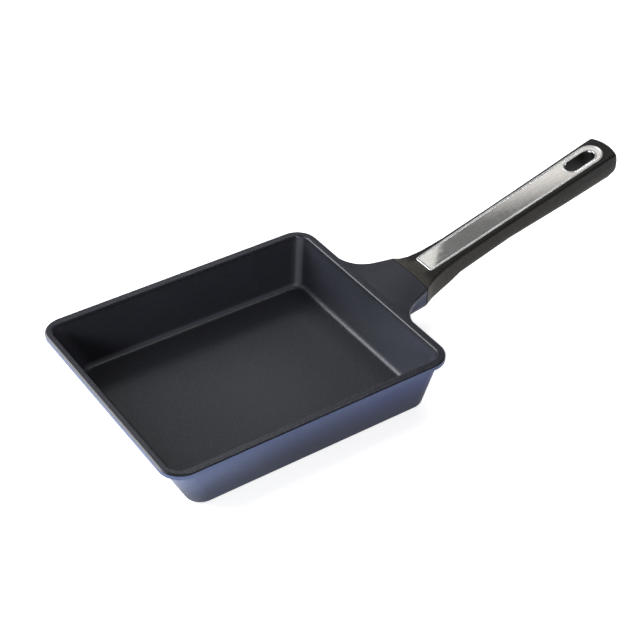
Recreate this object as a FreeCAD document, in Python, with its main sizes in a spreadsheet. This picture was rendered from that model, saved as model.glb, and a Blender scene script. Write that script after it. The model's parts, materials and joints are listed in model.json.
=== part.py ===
"""Rolled-omelette pan: a cast rectangular pan with a neck, a fixed grip, its inlaid trim and the fastening.

The origin is on the underside of the floor, under the middle of the rim. +Z is up and +X runs along the
handle. The handle frame starts on the joint between neck and grip: its X runs along the grip, and its Z is
square to the flat top of the grip.
"""
import FreeCAD
import Part
import Sketcher

import math
import os

# Driving dimensions in millimetres; leans and tilts are in degrees.
PAN_SIZES = {
    "rim_length": 185.0,
    "rim_width": 154.0,
    "pan_height": 38.0,
    "lip_thickness": 3.2,
    "lip_overhang": 3.4,
    "wall_thickness": 2.2,
    "floor_thickness": 4.0,
    "far_wall_lean": 24.7,
    "handle_wall_lean": 8.8,
    "side_wall_lean": 11.0,
    "rim_corner_radius": 13.5,
    "wall_corner_radius": 10.5,
    "base_edge_radius": 3.8,
    "floor_edge_radius": 3.2,
    "rim_edge_bevel": 0.8,
    "mouth_edge_radius": 1.2,
    "cut_overrun": 6.0,
}
NECK_SIZES = {
    "neck_length": 25.5,
    "neck_rise": 2.9,
    "neck_root_half_width": 43.5,
    "neck_flare_radius": 22.5,
    "neck_stem_half_width": 31.0,
    "neck_stem_flare_radius": 9.0,
    "joint_half_width": 18.6,
    "joint_depth": 18.0,
    "joint_crown": 2.0,
    "joint_belly_radius": 6.0,
    "joint_hump": 2.4,
    "handle_tilt": 15.2,
    "tang_root": 9.0,
    "tang_length": 22.0,
    "tang_half_width": 8.0,
    "tang_thickness": 6.0,
    "tang_drop": 4.0,
    "tang_corner_radius": 2.0,
}
GRIP_SIZES = {
    "collar_along": 3.5,
    "collar_half_width": 16.2,
    "collar_rise": 1.4,
    "collar_depth": 18.3,
    "collar_crown": 1.5,
    "heel_along": 8.5,
    "heel_half_width": 13.9,
    "heel_rise": 0.5,
    "heel_depth": 18.4,
    "heel_crown": 0.9,
    "throat_along": 17.0,
    "throat_half_width": 12.0,
    "throat_depth": 18.5,
    "nape_along": 24.0,
    "nape_half_width": 11.35,
    "nape_depth": 17.8,
    "front_along": 32.0,
    "front_half_width": 10.8,
    "front_depth": 16.0,
    "waist_along": 70.0,
    "waist_half_width": 10.8,
    "waist_depth": 15.1,
    "palm_along": 112.0,
    "palm_half_width": 11.3,
    "palm_depth": 17.3,
    "hip_along": 148.0,
    "hip_half_width": 11.9,
    "hip_depth": 18.1,
    "rump_along": 152.0,
    "rump_half_width": 11.7,
    "rump_depth": 17.2,
    "tail_along": 158.5,
    "tail_half_width": 10.0,
    "tail_depth": 11.0,
    "tail_end": 158.4,
    "tail_round_radius": 28.0,
    "tail_edge_radius": 1.8,
    "grip_crown": 0.25,
    "grip_shoulder_radius": 2.2,
    "grip_belly_radius": 5.0,
    "socket_clearance": 0.15,
}
TRIM_SIZES = {
    "trim_start": 10.4,
    "trim_end": 153.0,
    "trim_near_half_width": 7.8,
    "trim_far_radius": 8.85,
    "trim_corner_radius": 2.0,
    "trim_thickness": 1.5,
    "trim_proud": 0.35,
    "trim_border": 1.1,
    "trim_field_depth": 0.5,
    "trim_clearance": 0.1,
    "slot_start": 125.3,
    "slot_end": 147.5,
    "slot_radius": 5.0,
    "slot_setback": 0.4,
    "peg_radius": 1.5,
    "peg_length": 3.5,
    "peg_clearance": 0.1,
    "near_peg_along": 45.0,
    "far_peg_along": 108.0,
}
FASTENER_SIZES = {
    "screw_along": 12.0,
    "screw_radius": 2.0,
    "screw_tip_setback": 0.2,
    "screw_head_radius": 4.0,
    "screw_head_height": 2.9,
    "screw_head_bevel": 1.1,
    "screw_recess_length": 4.4,
    "screw_recess_width": 1.0,
    "screw_recess_depth": 1.6,
    "screw_recess_round": 0.25,
    "screw_clearance": 0.25,
    "screw_seat_thickness": 2.5,
    "screw_well_radius": 4.9,
    "flat_washer_radius": 4.5,
    "flat_washer_thickness": 0.8,
    "lock_washer_radius": 3.8,
    "lock_washer_thickness": 0.9,
    "lock_washer_split": 1.0,
    "insert_radius": 3.3,
    "thread_clearance": 0.05,
}
BASE_SIZES = {
    "base_sheet_margin": 14.0,
    "base_sheet_corner_radius": 12.0,
    "base_sheet_thickness": 0.6,
    "base_sheet_clearance": 0.1,
    "base_hole_radius": 4.2,
    "base_hole_edge": 13.0,
    "base_hole_columns": 6,
    "base_hole_rows": 4,
}

ORIGIN = (-1, 1)
X_AXIS, Y_AXIS = range(-1, -3, -1)
START, END, CENTRE = range(1, 4)
QUARTER = math.pi / 2
PICK_TOLERANCE = 1e-4
FLARE_LIMIT_SHARE = 0.95

doc = FreeCAD.newDocument("omelette_pan")


def make_sheet():
    """Spreadsheet with one aliased cell for each driving dimension."""
    sheet = doc.addObject("Spreadsheet::Sheet", "Sizes")
    groups = (PAN_SIZES, NECK_SIZES, GRIP_SIZES, TRIM_SIZES, FASTENER_SIZES, BASE_SIZES)
    row = 0
    for group in groups:
        for name, value in group.items():
            row += 1
            sheet.set(f"A{row}", name)
            sheet.set(f"B{row}", str(value))
            sheet.setAlias(f"B{row}", name)
    doc.recompute()
    return sheet


sizes = make_sheet()


class Names(dict):
    """Turns a size's plain name into its reference in the sheet."""

    def __missing__(self, name):
        return f"Sizes.{name}"


def formula(text):
    """Expression in which each {name} is a cell of the sheet."""
    return text.format_map(Names())


def value(expression):
    """Number that an expression gives with the sheet as it stands."""
    return float(sizes.evalExpression(expression))


RIM_HALF = formula("({rim_length} / 2)")
JOINT_X = formula("({rim_length} / 2 + {neck_length})")
JOINT_TOP = formula("({pan_height} + {neck_rise})")
LINE_Z = formula("({pan_height} + {neck_rise} - {joint_hump})")
WALL_HEIGHT = formula("({pan_height} - {lip_thickness})")
SEAT_DROP = formula("({trim_thickness} - {trim_proud})")
TANG_BOTTOM = formula("({tang_drop} + {tang_thickness})")
WELL_DROP = formula("({tang_drop} + {tang_thickness} + {screw_seat_thickness})")
HEAD_DROP = formula("({tang_drop} + {tang_thickness} + {screw_seat_thickness}"
                    " + {flat_washer_thickness} + {lock_washer_thickness})")


def make_body(name):
    """Body whose label is the sub-part's name."""
    body = doc.addObject("PartDesign::Body", name)
    body.Label = name
    return body


def handle_placement(body):
    """Sets a body in the handle frame."""
    body.Placement = FreeCAD.Placement(FreeCAD.Vector(), FreeCAD.Rotation(FreeCAD.Vector(0, -1, 0), 1))
    body.setExpression("Placement.Base.x", JOINT_X)
    body.setExpression("Placement.Base.z", LINE_Z)
    body.setExpression("Placement.Rotation.Angle", formula("{handle_tilt}"))


def origin_plane(body, role):
    """One of the body's own origin planes."""
    return next(item for item in body.Origin.OriginFeatures if item.Role == role)


def plane_sketch(body, name, role, offset="0"):
    """Sketch on one of the body's origin planes, moved along the plane's normal."""
    sketch = body.newObject("Sketcher::SketchObject", name)
    sketch.AttachmentSupport = (origin_plane(body, role), "")
    sketch.MapMode = "FlatFace"
    sketch.setExpression("AttachmentOffset.Base.z", offset)
    return sketch


def handle_sketch(body, name, height):
    """Sketch parallel to the flat top of the grip, in a body that stands in the pan's own frame."""
    sketch = plane_sketch(body, name, "XY_Plane")
    sketch.AttachmentOffset = FreeCAD.Placement(
        FreeCAD.Vector(), FreeCAD.Rotation(FreeCAD.Vector(0, -1, 0), 1))
    tilt = formula("{handle_tilt}")
    sketch.setExpression("AttachmentOffset.Base.x", f"{JOINT_X} - ({height}) * sin({tilt})")
    sketch.setExpression("AttachmentOffset.Base.z", f"{LINE_Z} + ({height}) * cos({tilt})")
    sketch.setExpression("AttachmentOffset.Rotation.Angle", tilt)
    return sketch


def constrain(sketch, kind, *arguments, bound=None):
    """Adds a constraint; a dimension is bound to its expression."""
    if bound is None:
        sketch.addConstraint(Sketcher.Constraint(kind, *arguments))
        return
    index = sketch.addConstraint(Sketcher.Constraint(kind, *arguments, value(bound)))
    sketch.setExpression(f"Constraints[{index}]", bound)


def line(sketch, start, end):
    """Adds a straight edge and gives its number."""
    return sketch.addGeometry(Part.LineSegment(FreeCAD.Vector(*start, 0), FreeCAD.Vector(*end, 0)))


def arc(sketch, centre, radius, first, last):
    """Adds an arc that runs anticlockwise and gives its number."""
    circle = Part.Circle(FreeCAD.Vector(*centre, 0), FreeCAD.Vector(0, 0, 1), radius)
    return sketch.addGeometry(Part.ArcOfCircle(circle, first, last))


def tangent_loop(sketch, edges):
    """Joins edges smoothly end to start, all the way round."""
    for edge, following in zip(edges, edges[1:] + edges[:1]):
        constrain(sketch, "Tangent", edge, END, following, START)


def rounded_rectangle(sketch, left, right, half_width, radius):
    """Rectangle even about the X axis; left and right are the distances of its ends from the origin."""
    far, near, half, round_ = (value(item) for item in (left, right, half_width, radius))
    front = line(sketch, (round_ - far, -half), (near - round_, -half))
    arcs = [arc(sketch, (near - round_, round_ - half), round_, -QUARTER, 0)]
    end = line(sketch, (near, round_ - half), (near, half - round_))
    arcs.append(arc(sketch, (near - round_, half - round_), round_, 0, QUARTER))
    back = line(sketch, (near - round_, half), (round_ - far, half))
    arcs.append(arc(sketch, (round_ - far, half - round_), round_, QUARTER, 2 * QUARTER))
    tip = line(sketch, (-far, half - round_), (-far, round_ - half))
    arcs.append(arc(sketch, (round_ - far, round_ - half), round_, 2 * QUARTER, 3 * QUARTER))
    tangent_loop(sketch, [front, arcs[0], end, arcs[1], back, arcs[2], tip, arcs[3]])
    for edge in (front, back):
        constrain(sketch, "Horizontal", edge)
    for edge in (end, tip):
        constrain(sketch, "Vertical", edge)
    for other in arcs[1:]:
        constrain(sketch, "Equal", arcs[0], other)
    constrain(sketch, "Radius", arcs[0], bound=radius)
    constrain(sketch, "DistanceX", *ORIGIN, end, START, bound=right)
    constrain(sketch, "DistanceX", tip, START, *ORIGIN, bound=left)
    constrain(sketch, "DistanceY", *ORIGIN, back, START, bound=half_width)
    constrain(sketch, "DistanceY", front, START, *ORIGIN, bound=half_width)


def slot(sketch, start, end, radius):
    """Round-ended slot along the sketch's X axis."""
    first, last, round_ = (value(item) for item in (start, end, radius))
    near = arc(sketch, (first + round_, 0), round_, QUARTER, 3 * QUARTER)
    front = line(sketch, (first + round_, -round_), (last - round_, -round_))
    far = arc(sketch, (last - round_, 0), round_, -QUARTER, QUARTER)
    back = line(sketch, (last - round_, round_), (first + round_, round_))
    tangent_loop(sketch, [near, front, far, back])
    constrain(sketch, "Equal", near, far)
    constrain(sketch, "PointOnObject", near, CENTRE, X_AXIS)
    constrain(sketch, "PointOnObject", far, CENTRE, X_AXIS)
    constrain(sketch, "Radius", near, bound=radius)
    constrain(sketch, "DistanceX", *ORIGIN, near, CENTRE, bound=f"{start} + {radius}")
    constrain(sketch, "DistanceX", *ORIGIN, far, CENTRE, bound=f"{end} - {radius}")


def circle(sketch, along, radius):
    """Circle on the sketch's X axis."""
    edge = sketch.addGeometry(Part.Circle(
        FreeCAD.Vector(value(along), 0, 0), FreeCAD.Vector(0, 0, 1), value(radius)))
    constrain(sketch, "PointOnObject", edge, CENTRE, X_AXIS)
    constrain(sketch, "DistanceX", *ORIGIN, edge, CENTRE, bound=along)
    constrain(sketch, "Radius", edge, bound=radius)


def hexagon(sketch, left, front, radius):
    """Six-sided hole; left and front are the distances of its centre from the origin, towards -X and -Y."""
    centre = FreeCAD.Vector(-value(left), -value(front), 0)
    guide = sketch.addGeometry(Part.Circle(centre, FreeCAD.Vector(0, 0, 1), value(radius)), True)
    corners = [
        (centre.x + value(radius) * math.cos(turn), centre.y + value(radius) * math.sin(turn))
        for turn in (side * math.pi / 3 for side in range(6))
    ]
    sides = [line(sketch, *pair) for pair in zip(corners, corners[1:] + corners[:1])]
    for side, following in zip(sides, sides[1:] + sides[:1]):
        constrain(sketch, "Coincident", side, END, following, START)
        constrain(sketch, "PointOnObject", side, START, guide)
    for side in sides[1:]:
        constrain(sketch, "Equal", sides[0], side)
    constrain(sketch, "Horizontal", sides[1])
    constrain(sketch, "Radius", guide, bound=radius)
    constrain(sketch, "DistanceX", guide, CENTRE, *ORIGIN, bound=left)
    constrain(sketch, "DistanceY", guide, CENTRE, *ORIGIN, bound=front)


def trim_outline(sketch, inset):
    """Outline of the trim, square at the pan's end and round at the tail, moved inwards by inset."""
    start = formula("({trim_start} + (") + inset + "))"
    end = formula("({trim_end} - (") + inset + "))"
    near_half = formula("({trim_near_half_width} - (") + inset + "))"
    far_radius = formula("({trim_far_radius} - (") + inset + "))"
    corner = formula("({trim_corner_radius} - (") + inset + "))"
    first, last, half, large, small = (value(item) for item in (start, end, near_half, far_radius, corner))
    far_centre = last - large
    near_centre = (first + small, half - small)
    along = far_centre - near_centre[0]
    across = -near_centre[1]
    turn = math.atan2(across, along) - math.asin((small - large) / math.hypot(along, across))
    normal = (-math.sin(turn), math.cos(turn))
    near_touch = (near_centre[0] + small * normal[0], near_centre[1] + small * normal[1])
    far_touch = (far_centre + large * normal[0], large * normal[1])
    edge = line(sketch, (first, near_centre[1]), (first, -near_centre[1]))
    low = arc(sketch, (near_centre[0], -near_centre[1]), small, 2 * QUARTER, 3 * QUARTER - turn)
    front = line(sketch, (near_touch[0], -near_touch[1]), (far_touch[0], -far_touch[1]))
    far = arc(sketch, (far_centre, 0), large, -QUARTER - turn, QUARTER + turn)
    back = line(sketch, far_touch, near_touch)
    high = arc(sketch, near_centre, small, QUARTER + turn, 2 * QUARTER)
    tangent_loop(sketch, [edge, low, front, far, back, high])
    constrain(sketch, "Vertical", edge)
    constrain(sketch, "Equal", low, high)
    constrain(sketch, "Radius", low, bound=corner)
    constrain(sketch, "Radius", far, bound=far_radius)
    constrain(sketch, "PointOnObject", far, CENTRE, X_AXIS)
    constrain(sketch, "DistanceX", *ORIGIN, far, CENTRE, bound=f"{end} - {far_radius}")
    constrain(sketch, "DistanceX", *ORIGIN, edge, START, bound=start)
    constrain(sketch, "DistanceY", *ORIGIN, high, CENTRE, bound=f"{near_half} - {corner}")
    constrain(sketch, "DistanceY", low, CENTRE, *ORIGIN, bound=f"{near_half} - {corner}")


def tail_outline(sketch):
    """What is cut off beyond the tail, which is round in plan."""
    large = formula("{tail_round_radius}")
    centre = formula("({tail_end} - {tail_round_radius})")
    limit = formula("({tail_end} + {cut_overrun})")
    radius, start, far = (value(item) for item in (large, centre, limit))
    round_end = arc(sketch, (start, 0), radius, -QUARTER, QUARTER)
    back = line(sketch, (start, radius), (far, radius))
    cap = line(sketch, (far, radius), (far, -radius))
    front = line(sketch, (far, -radius), (start, -radius))
    for edge, following in ((round_end, back), (back, cap), (cap, front), (front, round_end)):
        constrain(sketch, "Coincident", edge, END, following, START)
    constrain(sketch, "Horizontal", back)
    constrain(sketch, "Horizontal", front)
    constrain(sketch, "Vertical", cap)
    constrain(sketch, "PointOnObject", round_end, CENTRE, X_AXIS)
    constrain(sketch, "Radius", round_end, bound=large)
    constrain(sketch, "DistanceX", *ORIGIN, round_end, CENTRE, bound=centre)
    constrain(sketch, "DistanceX", *ORIGIN, back, START, bound=centre)
    constrain(sketch, "DistanceX", *ORIGIN, front, END, bound=centre)
    constrain(sketch, "DistanceX", *ORIGIN, cap, START, bound=limit)


def crowned_section(sketch, top, depth, half_width, crown, shoulder, belly):
    """Cross-section of the grip: crowned top, rounded shoulders, upright sides and a round-edged belly."""
    crown_radius = f"(({half_width})^2 + ({crown})^2) / (2 * ({crown}))"
    apex, deep, half, small, low, large = (
        value(item) for item in (top, depth, half_width, shoulder, belly, crown_radius))
    centre = apex - large
    shoulder_z = centre + math.sqrt((large - small) ** 2 - (half - small) ** 2)
    lean = math.atan2(half - small, shoulder_z - centre)
    bottom = apex - deep
    crest = arc(sketch, (0, centre), large, QUARTER - lean, QUARTER + lean)
    left_shoulder = arc(sketch, (small - half, shoulder_z), small, QUARTER + lean, 2 * QUARTER)
    left = line(sketch, (-half, shoulder_z), (-half, bottom + low))
    left_belly = arc(sketch, (low - half, bottom + low), low, 2 * QUARTER, 3 * QUARTER)
    under = line(sketch, (low - half, bottom), (half - low, bottom))
    right_belly = arc(sketch, (half - low, bottom + low), low, 3 * QUARTER, 4 * QUARTER)
    right = line(sketch, (half, bottom + low), (half, shoulder_z))
    right_shoulder = arc(sketch, (half - small, shoulder_z), small, 0, QUARTER - lean)
    tangent_loop(sketch, [crest, left_shoulder, left, left_belly, under, right_belly, right, right_shoulder])
    constrain(sketch, "Vertical", left)
    constrain(sketch, "Vertical", right)
    constrain(sketch, "Horizontal", under)
    constrain(sketch, "Equal", left_shoulder, right_shoulder)
    constrain(sketch, "Equal", left_belly, right_belly)
    constrain(sketch, "Radius", left_shoulder, bound=shoulder)
    constrain(sketch, "Radius", left_belly, bound=belly)
    constrain(sketch, "Radius", crest, bound=crown_radius)
    constrain(sketch, "PointOnObject", crest, CENTRE, Y_AXIS)
    constrain(sketch, "DistanceX", *ORIGIN, right, START, bound=half_width)
    constrain(sketch, "DistanceX", left, START, *ORIGIN, bound=half_width)
    constrain(sketch, "DistanceY", *ORIGIN, under, START, bound=f"{top} - ({depth})")
    constrain(sketch, "DistanceY", crest, CENTRE, *ORIGIN, bound=f"{crown_radius} - {top}")


def pad(body, sketch, length, down=False):
    """Pad of a bound length, against the sketch's normal if down is set."""
    feature = body.newObject("PartDesign::Pad", sketch.Name + "_pad")
    feature.Profile = sketch
    feature.Reversed = down
    feature.setExpression("Length", length)
    doc.recompute()
    return feature


def pocket(body, sketch, length=None, up=False):
    """Pocket of a bound length, or right through; it has to take material away."""
    before = body.Shape.Volume
    feature = body.newObject("PartDesign::Pocket", sketch.Name + "_pocket")
    feature.Profile = sketch
    feature.Reversed = up
    if length is None:
        feature.Type = "ThroughAll"
    else:
        feature.setExpression("Length", length)
    doc.recompute()
    if body.Shape.Volume >= before:
        raise RuntimeError(f"{feature.Name} cuts nothing")
    return feature


def loft(body, name, sections, cut=False, ruled=False):
    """Loft through sketches, added to the body or cut out of it."""
    kind = "PartDesign::SubtractiveLoft" if cut else "PartDesign::AdditiveLoft"
    feature = body.newObject(kind, name)
    feature.Profile = sections[0]
    feature.Sections = sections[1:]
    feature.Ruled = ruled
    doc.recompute()
    return feature


def dress(body, kind, name, wanted):
    """Starts a fillet or chamfer of every edge of the body's tip for which wanted is true."""
    base = body.Tip
    names = [f"Edge{number}" for number, edge in enumerate(base.Shape.Edges, 1) if wanted(edge)]
    if not names:
        raise RuntimeError(f"{name} finds no edge")
    feature = body.newObject(f"PartDesign::{kind}", name)
    feature.Base = (base, names)
    return feature


def fillet(body, name, radius, wanted):
    """Rounds the wanted edges."""
    dress(body, "Fillet", name, wanted).setExpression("Radius", radius)
    doc.recompute()


def chamfer(body, name, size, wanted):
    """Bevels the wanted edges."""
    dress(body, "Chamfer", name, wanted).setExpression("Size", size)
    doc.recompute()


def at_height(edge, height):
    """Whether an edge lies level at a height."""
    box = edge.BoundBox
    return max(abs(box.ZMin - height), abs(box.ZMax - height)) < PICK_TOLERANCE


def climbs(edge, low, high):
    """Whether an edge runs from one height to another."""
    box = edge.BoundBox
    return max(abs(box.ZMin - low), abs(box.ZMax - high)) < PICK_TOLERANCE


def wall_reach(lean, height, inset):
    """How far inside the rim a wall's face lies at a height, for a wall that leans by lean."""
    return formula(f"({{lip_overhang}} + {inset} + ({WALL_HEIGHT} - ({height})) * tan({{{lean}}}))")


def wall_wedge(body, name, low, high, inset):
    """Block with four leaning faces between two heights, inset from the outside of the walls."""
    wedge = body.newObject("PartDesign::AdditiveWedge", name)
    wedge.AttachmentSupport = (origin_plane(body, "XZ_Plane"), "")
    wedge.MapMode = "FlatFace"
    wedge.setExpression("Ymin", low)
    wedge.setExpression("Ymax", high)
    half_width = formula("{rim_width} / 2")
    for mark, height in (("", low), ("2", high)):
        far = f"{RIM_HALF} - {wall_reach('far_wall_lean', height, inset)}"
        near = f"{RIM_HALF} - {wall_reach('handle_wall_lean', height, inset)}"
        side = f"{half_width} - {wall_reach('side_wall_lean', height, inset)}"
        wedge.setExpression(f"X{mark}min", f"-({far})")
        wedge.setExpression(f"X{mark}max", near)
        wedge.setExpression(f"Z{mark}min", f"-({side})")
        wedge.setExpression(f"Z{mark}max", side)
    doc.recompute()
    return wedge


def neck_outline(sketch, root, root_half_width, flare_radius):
    """Plan of the neck: it flares into the pan as far as there is room, and narrows to the joint."""
    run = f"({JOINT_X} - {root})"
    step = formula(f"({root_half_width} - {{joint_half_width}})")
    flare_radius = f"min({flare_radius}; {FLARE_LIMIT_SHARE} * ({run}^2 + {step}^2) / (2 * {run}))"
    start, wide, flare = (value(item) for item in (root, root_half_width, flare_radius))
    joint, narrow = value(JOINT_X), value(formula("{joint_half_width}"))
    centre = (start + flare, wide)
    reach = (joint - centre[0], centre[1] - narrow)
    distance = math.hypot(*reach)
    turn = math.atan2(reach[1], reach[0]) + math.acos(flare / distance)
    touch = (centre[0] + flare * math.cos(turn), centre[1] - flare * math.sin(turn))
    back_flare = arc(sketch, centre, flare, 2 * QUARTER, 4 * QUARTER - turn)
    back = line(sketch, touch, (joint, narrow))
    end = line(sketch, (joint, narrow), (joint, -narrow))
    front = line(sketch, (joint, -narrow), (touch[0], -touch[1]))
    front_flare = arc(sketch, (centre[0], -wide), flare, turn, 2 * QUARTER)
    base = line(sketch, (start, -wide), (start, wide))
    constrain(sketch, "Tangent", back_flare, END, back, START)
    constrain(sketch, "Tangent", front, END, front_flare, START)
    constrain(sketch, "Coincident", back, END, end, START)
    constrain(sketch, "Coincident", end, END, front, START)
    constrain(sketch, "Tangent", front_flare, END, base, START)
    constrain(sketch, "Tangent", base, END, back_flare, START)
    constrain(sketch, "Vertical", base)
    constrain(sketch, "Vertical", end)
    constrain(sketch, "Equal", back_flare, front_flare)
    constrain(sketch, "Radius", back_flare, bound=flare_radius)
    constrain(sketch, "DistanceX", *ORIGIN, base, START, bound=root)
    constrain(sketch, "DistanceX", *ORIGIN, end, START, bound=JOINT_X)
    constrain(sketch, "DistanceY", *ORIGIN, end, START, bound=formula("{joint_half_width}"))
    constrain(sketch, "DistanceY", end, END, *ORIGIN, bound=formula("{joint_half_width}"))
    constrain(sketch, "DistanceY", *ORIGIN, base, END, bound=root_half_width)


def crown_cutter(body, name, along, crown_radius=None):
    """Upright section of what is cut away above the neck: level below at the rim, crowned at the joint."""
    sketch = plane_sketch(body, name, "YZ_Plane", along)
    reach = formula("({neck_root_half_width} + {cut_overrun})")
    ceiling = formula(f"({JOINT_TOP} + {{cut_overrun}})")
    half, high, low = (value(item) for item in (reach, ceiling, formula("{pan_height}")))
    if crown_radius is None:
        under = line(sketch, (half, low), (-half, low))
        constrain(sketch, "Horizontal", under)
        constrain(sketch, "DistanceY", *ORIGIN, under, START, bound=formula("{pan_height}"))
    else:
        large = value(crown_radius)
        centre = value(JOINT_TOP) - large
        lean = math.asin(half / large)
        low = centre + large * math.cos(lean)
        under = arc(sketch, (0, centre), large, QUARTER - lean, QUARTER + lean)
        constrain(sketch, "PointOnObject", under, CENTRE, Y_AXIS)
        constrain(sketch, "Radius", under, bound=crown_radius)
        constrain(sketch, "DistanceY", under, CENTRE, *ORIGIN, bound=f"{crown_radius} - {JOINT_TOP}")
    left = line(sketch, (-half, low), (-half, high))
    top = line(sketch, (-half, high), (half, high))
    right = line(sketch, (half, high), (half, low))
    constrain(sketch, "Coincident", under, END, left, START)
    constrain(sketch, "Coincident", left, END, top, START)
    constrain(sketch, "Coincident", top, END, right, START)
    constrain(sketch, "Coincident", right, END, under, START)
    constrain(sketch, "Vertical", left)
    constrain(sketch, "Vertical", right)
    constrain(sketch, "Horizontal", top)
    constrain(sketch, "DistanceX", *ORIGIN, right, START, bound=reach)
    constrain(sketch, "DistanceX", left, START, *ORIGIN, bound=reach)
    constrain(sketch, "DistanceY", *ORIGIN, top, START, bound=ceiling)
    return sketch


def make_cavity():
    """Inside of the pan as a solid: leaning faces with rounded corners and a rounded edge round the floor."""
    body = make_body("cavity")
    floor = formula("{floor_thickness}")
    mouth = formula("({pan_height} + {cut_overrun})")
    wall_wedge(body, "cavity_form", floor, mouth, formula("{wall_thickness}"))
    low, high = value(floor), value(mouth)
    fillet(body, "cavity_corners", formula("{wall_corner_radius} - {wall_thickness}"),
           lambda edge: climbs(edge, low, high))
    fillet(body, "floor_edge", formula("{floor_edge_radius}"), lambda edge: at_height(edge, low))
    return body


def make_neck():
    """Neck that carries the grip: a deep stem under a web that flares into the lip."""
    body = make_body("neck")
    web = plane_sketch(body, "neck_web", "XY_Plane", WALL_HEIGHT)
    web_root = formula(f"({RIM_HALF} - {{rim_edge_bevel}})")
    neck_outline(web, web_root, formula("{neck_root_half_width}"), formula("{neck_flare_radius}"))
    pad(body, web, formula("{lip_thickness} + {neck_rise}"))
    crown_radius = formula("(({joint_half_width}^2 + {joint_crown}^2) / (2 * {joint_crown}))")
    rim_cut = crown_cutter(body, "crown_at_rim", web_root)
    joint_cut = crown_cutter(body, "crown_at_joint", JOINT_X, crown_radius)
    loft(body, "neck_crown", [rim_cut, joint_cut], cut=True, ruled=True)
    web_bottom = value(WALL_HEIGHT)

    def beside_crown(edge):
        return edge.BoundBox.ZMin > web_bottom + PICK_TOLERANCE and edge.BoundBox.XLength > PICK_TOLERANCE

    chamfer(body, "neck_edge", formula("{rim_edge_bevel}"), beside_crown)

    neck_bottom = formula(f"{JOINT_TOP} - {{joint_depth}}")
    stem = plane_sketch(body, "neck_stem", "XY_Plane", neck_bottom)
    stem_root = formula(f"({RIM_HALF} - {{lip_overhang}} - {{wall_thickness}})")
    neck_outline(stem, stem_root, formula("{neck_stem_half_width}"), formula("{neck_stem_flare_radius}"))
    pad(body, stem, formula(f"{{pan_height}} - {{lip_thickness}} / 2 - ({neck_bottom})"))
    belly_height = value(neck_bottom)

    def on_belly(edge):
        return at_height(edge, belly_height) and edge.BoundBox.XLength > PICK_TOLERANCE

    fillet(body, "neck_belly", formula("{joint_belly_radius}"), on_belly)
    return body


def combine(body, kind, other):
    """Joins another body to this one, or cuts it out of this one."""
    feature = body.newObject("PartDesign::Boolean", f"{other.Name}_{kind.lower()}")
    feature.Type = kind
    feature.setObjects([other])
    doc.recompute()
    return feature


def make_pan_body():
    """Cast pan: leaning walls under a flat lip, the neck, and the tang that reaches into the grip."""
    body = make_body("pan_body")
    wall_wedge(body, "walls", "0", WALL_HEIGHT, "0")
    wall_height = value(WALL_HEIGHT)
    fillet(body, "wall_corners", formula("{wall_corner_radius}"), lambda edge: climbs(edge, 0, wall_height))
    fillet(body, "base_edge", formula("{base_edge_radius}"), lambda edge: at_height(edge, 0))

    lip = plane_sketch(body, "lip", "XY_Plane", WALL_HEIGHT)
    rounded_rectangle(lip, RIM_HALF, RIM_HALF, formula("{rim_width} / 2"), formula("{rim_corner_radius}"))
    pad(body, lip, formula("{lip_thickness}"))

    rim_height = value(formula("{pan_height}"))
    chamfer(body, "rim_edge", formula("{rim_edge_bevel}"), lambda edge: at_height(edge, rim_height))
    combine(body, "Fuse", make_neck())

    tang = handle_sketch(body, "tang", formula("-{tang_drop}"))
    rounded_rectangle(tang, formula("{tang_root}"), formula("{tang_length}"),
                      formula("{tang_half_width}"), formula("{tang_corner_radius}"))
    pad(body, tang, formula("{tang_thickness}"), down=True)
    insert_bore = handle_sketch(body, "insert_bore", formula("-{tang_drop} + {cut_overrun}"))
    circle(insert_bore, formula("{screw_along}"), formula("{insert_radius}"))
    pocket(body, insert_bore, formula("{tang_thickness} + 2 * {cut_overrun}"))

    combine(body, "Cut", make_cavity())
    mouth_half = value(formula(f"{RIM_HALF} - {{lip_overhang}}"))

    def round_mouth(edge):
        reach = max(abs(edge.BoundBox.XMin), abs(edge.BoundBox.XMax))
        return at_height(edge, rim_height) and reach < mouth_half

    fillet(body, "mouth_edge", formula("{mouth_edge_radius}"), round_mouth)
    recess = plane_sketch(body, "base_recess", "XY_Plane")
    base_sheet_outline(recess, "0")
    pocket(body, recess, formula("{base_sheet_thickness}"), up=True)
    return body


def base_sheet_outline(sketch, inset):
    """Outline of the steel sheet under the floor, moved inwards by inset."""
    margin = formula("{base_sheet_margin} + ") + inset
    rounded_rectangle(
        sketch,
        f"{RIM_HALF} - {wall_reach('far_wall_lean', '0', margin)}",
        f"{RIM_HALF} - {wall_reach('handle_wall_lean', '0', margin)}",
        formula("{rim_width} / 2 - ") + wall_reach("side_wall_lean", "0", margin),
        formula("{base_sheet_corner_radius} - ") + inset,
    )


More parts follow.
